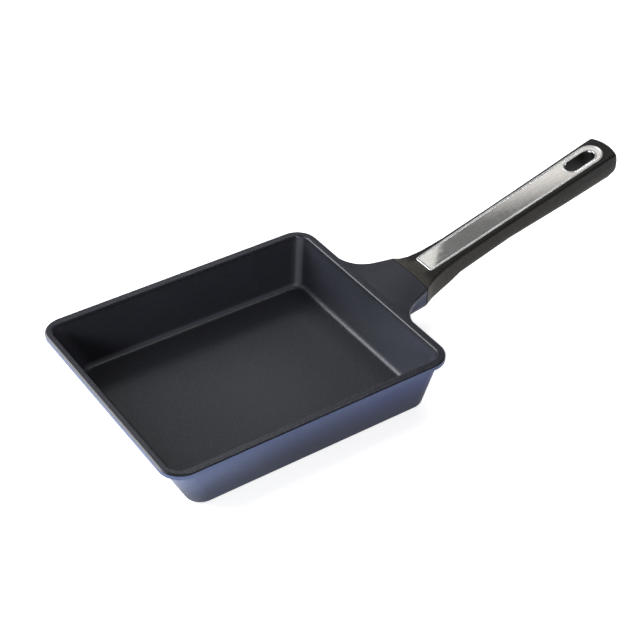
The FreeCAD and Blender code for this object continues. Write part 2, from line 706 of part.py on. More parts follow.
def make_induction_base():
    """Thin steel sheet in the recess of the floor, with rows of six-sided holes."""
    body = make_body("induction_base")
    outline = plane_sketch(body, "sheet_outline", "XY_Plane")
    base_sheet_outline(outline, formula("{base_sheet_clearance}"))
    pad(body, outline, formula("{base_sheet_thickness}"))
    edge = formula("({base_hole_edge} + {base_sheet_margin})")
    far = f"({RIM_HALF} - {wall_reach('far_wall_lean', '0', edge)})"
    near = f"({RIM_HALF} - {wall_reach('handle_wall_lean', '0', edge)})"
    side = formula("({rim_width} / 2 - ") + wall_reach("side_wall_lean", "0", edge) + ")"
    hole = plane_sketch(body, "sheet_hole", "XY_Plane")
    hexagon(hole, far, side, formula("{base_hole_radius}"))
    first = pocket(body, hole, up=True)
    rows = body.newObject("PartDesign::LinearPattern", "sheet_holes")
    rows.Originals = [first]
    rows.Direction = (hole, ["H_Axis"])
    rows.Direction2 = (hole, ["V_Axis"])
    rows.setExpression("Length", f"{far} + {near}")
    rows.setExpression("Length2", f"2 * {side}")
    rows.setExpression("Occurrences", formula("{base_hole_columns}"))
    rows.setExpression("Occurrences2", formula("{base_hole_rows}"))
    body.Tip = rows
    doc.recompute()
    return body


def grip_section(body, name, along, rise, depth, half_width, crown, shoulder, belly):
    """Upright cross-section of the grip at a distance from the joint."""
    sketch = plane_sketch(body, name, "YZ_Plane", f"{JOINT_X} + {along}")
    top = formula(f"({LINE_Z} + ({along}) * tan({{handle_tilt}}) + {rise})")
    crowned_section(sketch, top, depth, half_width, crown, shoulder, belly)
    return sketch


def make_handle_grip():
    """Moulded grip, lofted from the joint to the tail, with its socket, recess, hang slot and screw well."""
    body = make_body("handle_grip")
    sections = [grip_section(body, "at_joint", "0", formula("{joint_hump}"), formula("{joint_depth}"),
                             formula("{joint_half_width}"), formula("{joint_crown}"),
                             formula("{rim_edge_bevel}"), formula("{joint_belly_radius}"))]
    for place in ("collar", "heel", "throat", "nape", "front", "waist", "palm", "hip", "rump", "tail"):
        flares = place in ("collar", "heel")
        sections.append(grip_section(
            body, f"at_{place}", formula(f"{{{place}_along}}"),
            formula(f"{{{place}_rise}}") if flares else "0",
            formula(f"{{{place}_depth}}"), formula(f"{{{place}_half_width}}"),
            formula(f"{{{place}_crown}}" if flares else "{grip_crown}"),
            formula("{grip_shoulder_radius}"), formula("{grip_belly_radius}")))
    loft(body, "grip_form", sections, ruled=True)
    tail = handle_sketch(body, "tail_round", formula("{cut_overrun}"))
    tail_outline(tail)
    rounded = pocket(body, tail)
    ends = [face for face in rounded.Shape.Faces if isinstance(face.Surface, Part.Cylinder)]
    fillet(body, "tail_edge", formula("{tail_edge_radius}"),
           lambda edge: any(edge.isSame(other) for face in ends for other in face.Edges))

    recess = handle_sketch(body, "trim_recess", formula("{cut_overrun}"))
    trim_outline(recess, formula("-{trim_clearance}"))
    pocket(body, recess, formula(f"{{cut_overrun}} + {SEAT_DROP}"))
    hang = handle_sketch(body, "hang_slot", formula("{cut_overrun}"))
    slot(hang, formula("({slot_start} - {slot_setback})"), formula("({slot_end} + {slot_setback})"),
         formula("({slot_radius} + {slot_setback})"))
    pocket(body, hang)
    for number, place in enumerate(("near_peg_along", "far_peg_along"), start=1):
        hole = handle_sketch(body, f"peg_hole_{number}", formula("{cut_overrun}"))
        circle(hole, formula(f"{{{place}}}"), formula("{peg_radius} + {peg_clearance}"))
        pocket(body, hole, formula(f"{{cut_overrun}} + {SEAT_DROP} + {{peg_length}} + {{peg_clearance}}"))

    socket = handle_sketch(body, "socket", formula("-{tang_drop} + {socket_clearance}"))
    rounded_rectangle(socket, formula("{tang_root}"), formula("{tang_length} + {socket_clearance}"),
                      formula("{tang_half_width} + {socket_clearance}"),
                      formula("{tang_corner_radius} + {socket_clearance}"))
    pocket(body, socket, formula("{tang_thickness} + {socket_clearance}"))
    screw_hole = handle_sketch(body, "screw_hole", f"-{TANG_BOTTOM}")
    circle(screw_hole, formula("{screw_along}"), formula("{screw_radius} + {screw_clearance}"))
    pocket(body, screw_hole)
    well = handle_sketch(body, "screw_well", f"-{WELL_DROP}")
    circle(well, formula("{screw_along}"), formula("{screw_well_radius}"))
    pocket(body, well)
    return body


def make_handle_trim():
    """Inlaid trim: flat plate with a raised border, the hang slot and two pegs underneath."""
    body = make_body("handle_trim")
    handle_placement(body)
    outline = plane_sketch(body, "trim_outline", "XY_Plane", f"-{SEAT_DROP}")
    trim_outline(outline, "0")
    pad(body, outline, formula("{trim_thickness}"))
    field = plane_sketch(body, "trim_field", "XY_Plane", formula("{trim_proud}"))
    trim_outline(field, formula("{trim_border}"))
    pocket(body, field, formula("{trim_field_depth}"))
    hang = plane_sketch(body, "trim_slot", "XY_Plane", formula("{trim_proud}"))
    slot(hang, formula("{slot_start}"), formula("{slot_end}"), formula("{slot_radius}"))
    pocket(body, hang)
    for number, place in enumerate(("near_peg_along", "far_peg_along"), start=1):
        peg = plane_sketch(body, f"peg_{number}", "XY_Plane", f"-{SEAT_DROP}")
        circle(peg, formula(f"{{{place}}}"), formula("{peg_radius}"))
        pad(body, peg, formula("{peg_length}"), down=True)
    return body


def make_handle_screw():
    """Pan-head screw with a cross recess; its head is at the bottom."""
    body = make_body("handle_screw")
    handle_placement(body)
    shank = plane_sketch(body, "screw_shank", "XY_Plane", f"-{HEAD_DROP}")
    circle(shank, formula("{screw_along}"), formula("{screw_radius}"))
    pad(body, shank, formula(f"{HEAD_DROP} - {{tang_drop}} - {{screw_tip_setback}}"))
    head = plane_sketch(body, "screw_head", "XY_Plane", f"-{HEAD_DROP}")
    circle(head, formula("{screw_along}"), formula("{screw_head_radius}"))
    pad(body, head, formula("{screw_head_height}"), down=True)
    face = -value(HEAD_DROP) - value(formula("{screw_head_height}"))
    chamfer(body, "screw_head_edge", formula("{screw_head_bevel}"), lambda edge: at_height(edge, face))
    arms = (("screw_recess_length", "screw_recess_width"), ("screw_recess_width", "screw_recess_length"))
    for number, (along, across) in enumerate(arms, start=1):
        recess = plane_sketch(body, f"screw_recess_{number}", "XY_Plane",
                              formula(f"-({HEAD_DROP} + {{screw_head_height}})"))
        rounded_rectangle(recess, formula(f"-({{screw_along}} - {{{along}}} / 2)"),
                          formula(f"{{screw_along}} + {{{along}}} / 2"),
                          formula(f"{{{across}}} / 2"), formula("{screw_recess_round}"))
        pocket(body, recess, formula("{screw_recess_depth}"), up=True)
    return body


def make_washer(name, radius, thickness, drop):
    """Plain ring round the screw, its lower face at a drop below the top of the grip."""
    body = make_body(name)
    handle_placement(body)
    ring = plane_sketch(body, f"{name}_ring", "XY_Plane", f"-({drop})")
    circle(ring, formula("{screw_along}"), radius)
    circle(ring, formula("{screw_along}"), formula("{screw_radius} + {screw_clearance}"))
    pad(body, ring, thickness)
    return body


def make_flat_washer():
    """Plain washer on the shoulder of the screw's well."""
    return make_washer("flat_washer", formula("{flat_washer_radius}"), formula("{flat_washer_thickness}"),
                       formula(f"{WELL_DROP} + {{flat_washer_thickness}}"))


def make_lock_washer():
    """Split washer between the plain washer and the screw head."""
    body = make_washer("lock_washer", formula("{lock_washer_radius}"),
                       formula("{lock_washer_thickness}"), HEAD_DROP)
    split = plane_sketch(body, "lock_washer_split", "XY_Plane", f"-{HEAD_DROP}")
    slot(split, formula("{screw_along}"), formula("({screw_along} + {lock_washer_radius} * 2)"),
         formula("{lock_washer_split} / 2"))
    pocket(body, split, up=True)
    return body


def make_thread_insert():
    """Steel bush in the tang that takes the screw's thread."""
    body = make_body("thread_insert")
    handle_placement(body)
    bush = plane_sketch(body, "insert_bush", "XY_Plane", f"-{TANG_BOTTOM}")
    circle(bush, formula("{screw_along}"), formula("{insert_radius}"))
    circle(bush, formula("{screw_along}"), formula("{screw_radius} + {thread_clearance}"))
    pad(body, bush, formula("{tang_thickness}"))
    return body


def check_and_write(pieces):
    """Stops at a failed object or a bad shape, then writes each piece to its own file."""
    doc.recompute()
    for item in doc.Objects:
        if "Invalid" in item.State or "Error" in item.State:
            raise RuntimeError(f"{item.Name} failed: {item.State}")
    for piece in pieces:
        if piece.Shape.isNull() or not piece.Shape.isValid() or len(piece.Shape.Solids) != 1:
            raise RuntimeError(f"{piece.Label} is not one sound solid")
    os.makedirs("parts", exist_ok=True)
    for piece in pieces:
        piece.Shape.exportStep(f"parts/{piece.Label}.step")
        print(piece.Label, "volume", round(piece.Shape.Volume, 1))


check_and_write([
    make_pan_body(),
    make_induction_base(),
    make_handle_grip(),
    make_handle_trim(),
    make_handle_screw(),
    make_flat_washer(),
    make_lock_washer(),
    make_thread_insert(),
])
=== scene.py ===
"""Finished look of the rolled-omelette pan: materials, finer handle, studio floor, light and camera."""
import json
import math

import bmesh
import bpy
from mathutils import Matrix, Vector

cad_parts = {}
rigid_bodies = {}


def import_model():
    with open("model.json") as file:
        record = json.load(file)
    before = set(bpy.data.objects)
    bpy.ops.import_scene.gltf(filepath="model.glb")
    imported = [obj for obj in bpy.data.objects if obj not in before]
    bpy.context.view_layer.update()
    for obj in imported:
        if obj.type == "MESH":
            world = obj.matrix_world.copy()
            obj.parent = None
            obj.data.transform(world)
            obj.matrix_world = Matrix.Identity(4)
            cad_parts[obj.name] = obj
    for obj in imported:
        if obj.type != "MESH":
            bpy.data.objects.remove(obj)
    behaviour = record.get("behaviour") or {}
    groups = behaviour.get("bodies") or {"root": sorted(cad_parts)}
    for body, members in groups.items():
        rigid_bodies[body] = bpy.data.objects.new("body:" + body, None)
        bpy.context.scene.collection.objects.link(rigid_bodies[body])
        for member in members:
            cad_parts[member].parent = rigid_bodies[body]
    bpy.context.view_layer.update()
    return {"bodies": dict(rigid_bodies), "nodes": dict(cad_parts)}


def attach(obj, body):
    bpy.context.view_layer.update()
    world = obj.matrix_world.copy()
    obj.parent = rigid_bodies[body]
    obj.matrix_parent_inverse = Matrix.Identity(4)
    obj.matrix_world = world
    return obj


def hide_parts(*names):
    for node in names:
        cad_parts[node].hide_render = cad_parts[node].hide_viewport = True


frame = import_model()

MM = 0.001

# Handle frame: it starts on the joint between neck and grip, X runs along the grip, Z is square to its top.
JOINT = (118.0, 0.0, 38.5)
TILT = 15.2

# Trim, in millimetres in the handle frame.
TRIM_START, TRIM_END = 10.4, 153.0
TRIM_HALF_WIDTH = 7.8
TRIM_FAR_RADIUS = 8.85
TRIM_CORNER_RADIUS = 2.0
TRIM_BOTTOM, TRIM_FIELD, TRIM_TOP = -1.15, -0.15, 0.35
SLOT_START, SLOT_END = 125.3, 147.5
SLOT_RADIUS = 5.0

# Bead round the trim and lip round its slot, in millimetres.
# A run-out holds steps away from the bead or lip, with heights over the field.
BEAD_WIDTH = 1.3
BEAD_FOOT = 0.12
BEAD_RUN_OUT = ((0.10, 0.03), (0.25, 0.0), (0.40, 0.0))
LIP_WIDTH = 1.1
LIP_RISE = 0.2
LIP_RUN_OUT = ((0.25, 0.0), (0.12, 0.0))

# Steps in the round stretches of the trim.
BEAD_STEPS = 10
CORNER_STEPS = 10
FAR_STEPS = 48
SLOT_STEPS = 32

# Grip: rounding of its edge at the joint, and swell of its tail's end in the handle frame, in millimetres.
JOINT_EASE = 0.6
EASE_STEPS = 3
TAIL_START, TAIL_CORNER = 152.0, 156.5
TAIL_LOW, TAIL_HIGH = -10.5, 1.0
TAIL_SWELL = 1.2
TAIL_CUTS = 8

# Distances in millimetres under which points are one point or lie on a plane.
WELD = 0.002
TOUCH = 0.001

# Angles in degrees from which an edge stays sharp, and the X of a normal from which a face is an end.
GRIP_CREASE = 38.0
TRIM_CREASE = 50.0
END_ON = 0.9

# Casting: upward share of the normal from paint to coat, and product of its X and Y in an upright corner.
COAT_FACING = (0.06, 0.09)
CORNER_FACING = (0.34, 0.49)

# Casting: zones in millimetres along X, across Y and up Z.
FLOOR_EDGE_UP = (4.5, 6.5)
CREASE_START_UP, CREASE_END_UP = (4.2, 5.0), (5.6, 7.5)
WALL_END_UP = (34.0, 36.0)
RIM_UP = (36.7, 37.7)
HANDLE_WALL_ALONG, HANDLE_WALL_ACROSS = (72.0, 80.0), (-50.0, 0.0)
FLOOR_BACK_ACROSS = (15.0, 55.0)
FLOOR_MIDDLE = (10.0, -12.0, 4.0)
FLOOR_MIDDLE_REACH = (5.0, 55.0)
NECK_ALONG = (84.0, 96.0)
NECK_SHADE_ALONG = (94.0, 104.0)
JOINT_SHADE_ALONG = (JOINT[0] - 1.1, JOINT[0] - 0.7)
AWAY_SHADE_ALONG, AWAY_SHADE_UP = (-85.0, -5.0), (12.0, 35.0)
DEEP_SHADE_ALONG, DEEP_SHADE_UP = (0.0, 60.0), (26.0, 34.0)
LOW_SHADE_UP = (6.0, 30.0)

# Casting: colours of the coat and of the paint.
COAT_DARK, COAT_PALE = (0.0140, 0.0149, 0.0215, 1), (0.0180, 0.0189, 0.0264, 1)
COAT_SPECK = (0.056, 0.058, 0.070, 1)
RIM_SHADE = (0.005, 0.005, 0.008, 1)
WALL_LIT_BLUE = (0.058, 0.064, 0.090, 1)
FLOOR_DARK, FLOOR_SPECK = (0.0105, 0.0111, 0.0155, 1), (0.030, 0.031, 0.038, 1)
FLOOR_SHADE, FLOOR_SHEEN = (0.004, 0.004, 0.006, 1), (0.042, 0.043, 0.050, 1)
CORNER_HIGHLIGHT = (0.120, 0.126, 0.155, 1)
JOINT_SHADE = (0.003, 0.003, 0.0035, 1)
PAINT_DARK, PAINT_PALE = (0.070, 0.098, 0.205, 1), (0.098, 0.130, 0.262, 1)
PAINT_PATCH = (0.072, 0.100, 0.200, 1)
PAINT_AWAY_SHADE = (0.012, 0.021, 0.070, 1)
PAINT_DEEP_SHADE = (0.016, 0.028, 0.125, 1)
PAINT_LOW_SHADE = (0.020, 0.022, 0.034, 1)
PAINT_NECK_SHADE = (0.024, 0.029, 0.056, 1)

# Casting: finish of the coat and of the paint. Scuffs are drawn out along X.
SPECKLE_SHARE = 0.24
SCUFF_SCALE = (1.0, 14.0, 3.0)
DARKENED_ROUGHNESS, JOINT_SHADE_ROUGHNESS = 0.60, 0.8
PAINT_METAL, COAT_METAL = 0.3, 0.0
CASTING_SPECULAR = 0.4

# Grip: upward share of the normal from its sides to its top, and zones in millimetres in the handle frame.
TOP_FACING = (0.5, 0.9)
TOP_LIGHT_ALONG = (20.0, 150.0)
UPPER_SIDE_SHADE_ALONG, UPPER_SIDE_SHADE_UP = (20.0, 140.0), (-12.0, -6.0)
TOP_UP = (-2.8, -0.2)
OUTER_ACROSS = (5.0, 8.0)
HEEL_ALONG, THROAT_ALONG = (3.0, 9.0), (13.0, 19.0)

# Grip: colours and finish.
GRIP_DARK, GRIP_PALE = (0.0148, 0.0129, 0.0104, 1), (0.0422, 0.0379, 0.0311, 1)
GRIP_RUBBED = (0.042, 0.038, 0.033, 1)
GRIP_TOP_LIGHT = (0.062, 0.056, 0.046, 1)
GRIP_SHADE = (0.004, 0.0036, 0.0032, 1)
RUBBED_SHARE, TRIM_SIDE_SHADE_SHARE = 0.4, 0.8
GRIP_SPECULAR = 0.16

# Trim: heights from its field to its bead, in millimetres in the handle frame, colours and finish.
BEAD_UP = (TRIM_FIELD + 0.02, TRIM_FIELD + 0.08)
FIELD_DARK, FIELD_PALE = (0.74, 0.73, 0.715, 1), (0.86, 0.855, 0.845, 1)
BEAD_GREY = (0.52, 0.515, 0.505, 1)
TRIM_BRUSH = (0.06, 1.0, 1.0)
BEAD_ROUGHNESS = 0.42

# Steel: colours, scale of the brush along each axis, and easing of the edges in millimetres.
PLATED_PALE, PLATED_DARK = (0.66, 0.66, 0.65, 1), (0.50, 0.50, 0.49, 1)
SHEET_PALE, SHEET_DARK = (0.60, 0.60, 0.61, 1), (0.44, 0.44, 0.45, 1)
EVEN_BRUSH, LONG_BRUSH = (1.0, 1.0, 1.0), (0.05, 1.0, 1.0)
STAIN_SHARE = 0.35
STEEL_EDGE = 0.2
EDGE_SAMPLES = 6

# Studio floor in metres: half its length, how far it lies under the pan, and its glow from near to far.
STUDIO_REACH = 4.0
STUDIO_DROP = 0.2 * MM
STUDIO_GREY, STUDIO_WHITE = (0.80, 0.80, 0.80, 1), (0.83, 0.83, 0.83, 1)
GLOW_REACH, GLOW_LEVEL = (0.4, 1.6), (0.70, 0.95)

# Sky: heights of a direction between which its white band ends, and its level elsewhere.
BAND_END = (0.10, 0.25)
SKY_LEVEL = 0.20

# Light colours, and the point that the key and the fill face.
WHITE, COOL, WARM, CREAM = (1.0, 1.0, 1.0), (0.94, 0.97, 1.0), (1.0, 0.96, 0.92), (1.0, 1.0, 0.95)
PAN_MIDDLE = (0.0, 0.0, 0.02)

# Card that the tail end of the trim mirrors, with strips that fade out towards the middle of the trim:
# sizes in metres, power in watts, turn about the upright in degrees.
BACK_TURN = -34.0
BACK_LENGTH, BACK_WIDTH = 0.22, 0.06
BACK_POWER = 0.0296
FADE_MIDDLE = Vector((0.514, 0.720, 1.002))
FADE_STRIPS = 10
FADE_WIDTH = 0.0035
FADE_POWER = 0.00016

# Card that the neck end of the trim mirrors: turn about the upright in degrees.
SIDE_TURN = 36.9

# Camera: angles in degrees, offsets in metres, lens in millimetres on a 36 mm sensor.
AZIMUTH = -35.37
ELEVATION = 38.16
ROLL = 1.515
OFFSET = (0.04398, 0.04199, 0.89808)
LENS = 86.28
SENSOR = 36.0


def clear_defaults():
    """Removes what a new file holds beside the frame."""
    kept = set(frame["nodes"].values()) | set(frame["bodies"].values())
    for item in list(bpy.data.objects):
        if item not in kept:
            bpy.data.objects.remove(item, do_unlink=True)


def handle_place():
    """Turn and shift from the handle frame to the object's frame, in metres."""
    return Matrix.Translation(Vector(JOINT) * MM) @ Matrix.Rotation(-math.radians(TILT), 4, "Y")


class Nodes:
    """Node tree of a material or of the sky."""

    def __init__(self, owner, output="ShaderNodeOutputMaterial"):
        owner.use_nodes = True
        self.owner = owner
        self.tree = owner.node_tree
        self.tree.nodes.clear()
        self.output = self.add(output)
        self.coordinates = self.add("ShaderNodeTexCoord").outputs
        self.place = self.coordinates["Object"]

    def add(self, kind, **settings):
        """New node with its settings."""
        node = self.tree.nodes.new(kind)
        for key, setting in settings.items():
            setattr(node, key, setting)
        return node

    def feed(self, socket, source):
        """Sets a socket to a value or links an output to it."""
        if isinstance(source, bpy.types.NodeSocket):
            self.tree.links.new(source, socket)
        else:
            socket.default_value = source

    def combine(self, kind, first, second=0.0, clamp=False):
        """Result of one kind of arithmetic on two numbers."""
        node = self.add("ShaderNodeMath", operation=kind, use_clamp=clamp)
        self.feed(node.inputs[0], first)
        self.feed(node.inputs[1], second)
        return node.outputs[0]

    def plus(self, first, second):
        """Sum of two numbers."""
        return self.combine("ADD", first, second)

    def times(self, first, second):
        """Product of two numbers."""
        return self.combine("MULTIPLY", first, second)

    def larger(self, first, second):
        """Larger of two numbers."""
        return self.combine("MAXIMUM", first, second)

    def spread(self, source, low, high, to_low=0.0, to_high=1.0, smooth=False):
        """Maps a range onto another, without going past its ends."""
        node = self.add("ShaderNodeMapRange", interpolation_type="SMOOTHSTEP" if smooth else "LINEAR")
        for socket, setting in zip(node.inputs, (source, low, high, to_low, to_high)):
            self.feed(socket, setting)
        return node.outputs[0]

    def zone(self, source, ends, to_low=0.0, to_high=1.0, smooth=False):
        """Maps a stretch, whose ends are in millimetres, onto a range."""
        return self.spread(source, ends[0] * MM, ends[1] * MM, to_low, to_high, smooth)

    def blend(self, share, first, second):
        """Colour between two colours."""
        node = self.add("ShaderNodeMix", data_type="RGBA")
        self.feed(node.inputs["Factor"], share)
        self.feed(node.inputs["A"], first)
        self.feed(node.inputs["B"], second)
        return node.outputs["Result"]

    def mix(self, share, first, second):
        """Number between two numbers."""
        node = self.add("ShaderNodeMix", data_type="FLOAT")
        self.feed(node.inputs[0], share)
        self.feed(node.inputs[2], first)
        self.feed(node.inputs[3], second)
        return node.outputs[0]

    def axes(self, vector):
        """Parts of a vector, by the names of the axes."""
        node = self.add("ShaderNodeSeparateXYZ")
        self.feed(node.inputs[0], vector)
        return node.outputs

    def normal(self, kind):
        """Parts of the surface's normal."""
        return self.axes(self.add("ShaderNodeNewGeometry").outputs[kind])

    def in_handle(self):
        """Coordinates in the handle frame."""
        node = self.add("ShaderNodeMapping", vector_type="TEXTURE")
        self.feed(node.inputs["Vector"], self.place)
        node.inputs["Location"].default_value = Vector(JOINT) * MM
        node.inputs["Rotation"].default_value = (0.0, -math.radians(TILT), 0.0)
        return self.axes(node.outputs["Vector"])

    def distance(self, point):
        """Distance from a point."""
        node = self.add("ShaderNodeVectorMath", operation="DISTANCE")
        self.feed(node.inputs[0], self.place)
        node.inputs[1].default_value = point
        return node.outputs["Value"]

    def stretched(self, scale):
        """Object coordinates scaled along each axis."""
        node = self.add("ShaderNodeMapping")
        self.feed(node.inputs["Vector"], self.place)
        node.inputs["Scale"].default_value = scale
        return node.outputs["Vector"]

    def noise(self, scale, detail=2.0, roughness=0.5, place=None):
        """Noise in object space; the scale is in cycles to a metre."""
        node = self.add("ShaderNodeTexNoise")
        self.feed(node.inputs["Vector"], place or self.place)
        node.inputs["Scale"].default_value = scale
        node.inputs["Detail"].default_value = detail
        node.inputs["Roughness"].default_value = roughness
        return node.outputs[0]

    def cells(self, scale):
        """Cells in object space, each with a number of its own."""
        node = self.add("ShaderNodeTexVoronoi")
        self.feed(node.inputs["Vector"], self.place)
        node.inputs["Scale"].default_value = scale
        parts = self.add("ShaderNodeSeparateColor")
        self.feed(parts.inputs[0], node.outputs["Color"])
        return parts.outputs[0]

    def bump(self, height, strength, distance, normal=None):
        """Normal that follows a height."""
        node = self.add("ShaderNodeBump")
        node.inputs["Strength"].default_value = strength
        node.inputs["Distance"].default_value = distance
        self.feed(node.inputs["Height"], height)
        if normal is not None:
            self.feed(node.inputs["Normal"], normal)
        return node.outputs[0]

    def rounded(self, radius):
        """Normal with the edges eased by a radius."""
        node = self.add("ShaderNodeBevel", samples=EDGE_SAMPLES)
        node.inputs["Radius"].default_value = radius
        return node.outputs[0]

    def seen(self):
        """One for what is looked at, straight, in a mirror or through glass, and zero for other light."""
        path = self.add("ShaderNodeLightPath").outputs
        total = self.combine("ADD", path["Is Camera Ray"], path["Is Glossy Ray"], clamp=True)
        return self.combine("ADD", total, path["Is Transmission Ray"], clamp=True)

    def surface(self, color, roughness, metallic, normal, specular=0.5):
        """Closes the material with one surface shader."""
        shader = self.add("ShaderNodeBsdfPrincipled")
        self.feed(shader.inputs["Base Color"], color)
        self.feed(shader.inputs["Roughness"], roughness)
        self.feed(shader.inputs["Metallic"], metallic)
        self.feed(shader.inputs["Normal"], normal)
        shader.inputs["Specular IOR Level"].default_value = specular
        self.feed(self.output.inputs["Surface"], shader.outputs[0])
        return self.owner


def coat_color(n, spot, speckle, floor_share):
    """Black coat: speckled walls, painted shade on the rim, painted light on the wall at the handle end, a
    floor painted darker than the walls with painted shade at its back and a painted sheen in its middle,
    and painted highlights in the corners.
    """
    cloud = n.spread(n.noise(scale=26.0, detail=3.0), 0.35, 0.7)
    wall = n.blend(cloud, COAT_DARK, COAT_PALE)
    wall = n.blend(n.times(speckle, SPECKLE_SHARE), wall, COAT_SPECK)
    # Painted shade: the top of the rim darker.
    wall = n.blend(n.zone(spot["Z"], RIM_UP, to_high=0.3), wall, RIM_SHADE)
    # Painted light: the inner wall at the handle end paler and bluer, most towards the front.
    lit_wall = n.times(n.zone(spot["X"], HANDLE_WALL_ALONG), n.zone(spot["Z"], WALL_END_UP, 1.0, 0.0))
    lit_wall = n.times(lit_wall, n.zone(spot["Y"], HANDLE_WALL_ACROSS, 0.32, 0.0))
    wall = n.blend(lit_wall, wall, WALL_LIT_BLUE)

    floor = n.blend(speckle, FLOOR_DARK, FLOOR_SPECK)
    # Painted shade on the floor along the back wall.
    shade = n.zone(spot["Y"], FLOOR_BACK_ACROSS, to_high=0.35, smooth=True)
    floor = n.blend(shade, floor, FLOOR_SHADE)
    # Painted sheen: the floor paler in its middle.
    away = n.distance(Vector(FLOOR_MIDDLE) * MM)
    floor = n.blend(n.zone(away, FLOOR_MIDDLE_REACH, 0.3, 0.0, smooth=True), floor, FLOOR_SHEEN)

    # Painted highlights in the upright corners and along the edge of the floor.
    facing = n.normal("Normal")
    corner = n.spread(n.times(facing["X"], facing["Y"]), *CORNER_FACING, to_high=0.55, smooth=True)
    crease = n.zone(spot["Z"], CREASE_START_UP, to_high=0.32)
    crease = n.times(crease, n.zone(spot["Z"], CREASE_END_UP, 1.0, 0.0))
    return n.blend(n.larger(corner, crease), n.blend(floor_share, wall, floor), CORNER_HIGHLIGHT)


def coat_gloss(n, spot, floor_share):
    """Roughness of the coat: smooth on the rim, rougher on walls, floor and neck, with scuffs."""
    scuff = n.noise(scale=90.0, detail=4.0, roughness=0.6, place=n.stretched(SCUFF_SCALE))
    scuff = n.spread(scuff, 0.62, 0.78)
    gloss = n.spread(n.noise(scale=420.0), 0.3, 0.7, to_low=0.22, to_high=0.28)
    gloss = n.plus(gloss, n.times(scuff, -0.03))
    gloss = n.plus(gloss, n.zone(spot["Z"], WALL_END_UP, 0.17, 0.0))
    gloss = n.plus(gloss, n.times(floor_share, -0.02))
    return n.plus(gloss, n.zone(spot["X"], NECK_ALONG, to_high=0.14, smooth=True))


def paint_finish(n, spot):
    """Colour and roughness of the blue paint: painted shade away from its end at -X, low on the walls
    towards the handle, towards the bottom and under the neck, and matt where the shade low down and away
    from the end is strongest.
    """
    color = n.blend(n.cells(scale=5200.0), PAINT_DARK, PAINT_PALE)
    patch = n.spread(n.noise(scale=38.0, detail=4.0), 0.4, 0.75)
    color = n.blend(patch, color, PAINT_PATCH)
    # Painted shade: the paint darker everywhere but near its end at -X, more so low down.
    away_shade = n.zone(spot["X"], AWAY_SHADE_ALONG, smooth=True)
    away_shade = n.times(away_shade, n.zone(spot["Z"], AWAY_SHADE_UP, 0.85, 0.36))
    color = n.blend(away_shade, color, PAINT_AWAY_SHADE)
    # Painted shade: a deeper, darker blue on the walls below the lip, towards the handle.
    deep_shade = n.zone(spot["X"], DEEP_SHADE_ALONG, to_high=0.5, smooth=True)
    deep_shade = n.times(deep_shade, n.zone(spot["Z"], DEEP_SHADE_UP, 1.0, 0.0))
    color = n.blend(deep_shade, color, PAINT_DEEP_SHADE)
    # Painted shade: the paint darker towards the bottom.
    low_shade = n.zone(spot["Z"], LOW_SHADE_UP, 0.7, 0.0, smooth=True)
    color = n.blend(low_shade, color, PAINT_LOW_SHADE)
    # Painted shade on the neck's sides and underside.
    neck_shade = n.zone(spot["X"], NECK_SHADE_ALONG, to_high=0.85, smooth=True)
    color = n.blend(neck_shade, color, PAINT_NECK_SHADE)
    gloss = n.spread(n.noise(scale=300.0, detail=3.0), 0.3, 0.7, to_low=0.34, to_high=0.42)
    return color, n.mix(n.larger(low_shade, away_shade), gloss, DARKENED_ROUGHNESS)


def coated_casting():
    """Black non-stick coat on what faces up or inwards, satin metallic blue on the outside."""
    n = Nodes(bpy.data.materials.new("coat_and_paint"))
    spot = n.axes(n.place)
    coated = n.spread(n.normal("True Normal")["Z"], *COAT_FACING)
    # Share of the floor, whose coat is painted darker than the walls' as painted shade.
    floor_share = n.zone(spot["Z"], FLOOR_EDGE_UP, 1.0, 0.0)
    # Painted shade at the seam: the neck black next to its joint with the grip.
    joint_shade = n.zone(spot["X"], JOINT_SHADE_ALONG)
    mottle = n.spread(n.noise(scale=750.0, detail=3.0, roughness=0.7), 0.42, 0.72)
    speckle = n.spread(n.noise(scale=2600.0, detail=3.0, roughness=0.65), 0.52, 0.72)
    speckle = n.larger(speckle, mottle)
    paint, paint_gloss = paint_finish(n, spot)
    color = n.blend(coated, paint, coat_color(n, spot, speckle, floor_share))
    gloss = n.mix(coated, paint_gloss, coat_gloss(n, spot, floor_share))
    peel = n.noise(scale=1500.0, roughness=0.55)
    normal = n.bump(speckle, strength=0.05, distance=0.0002)
    normal = n.bump(peel, strength=0.08, distance=0.0004, normal=normal)
    return n.surface(
        n.blend(joint_shade, color, JOINT_SHADE),
        n.mix(joint_shade, gloss, JOINT_SHADE_ROUGHNESS),
        n.mix(coated, PAINT_METAL, COAT_METAL),
        normal,
        specular=CASTING_SPECULAR,
    )


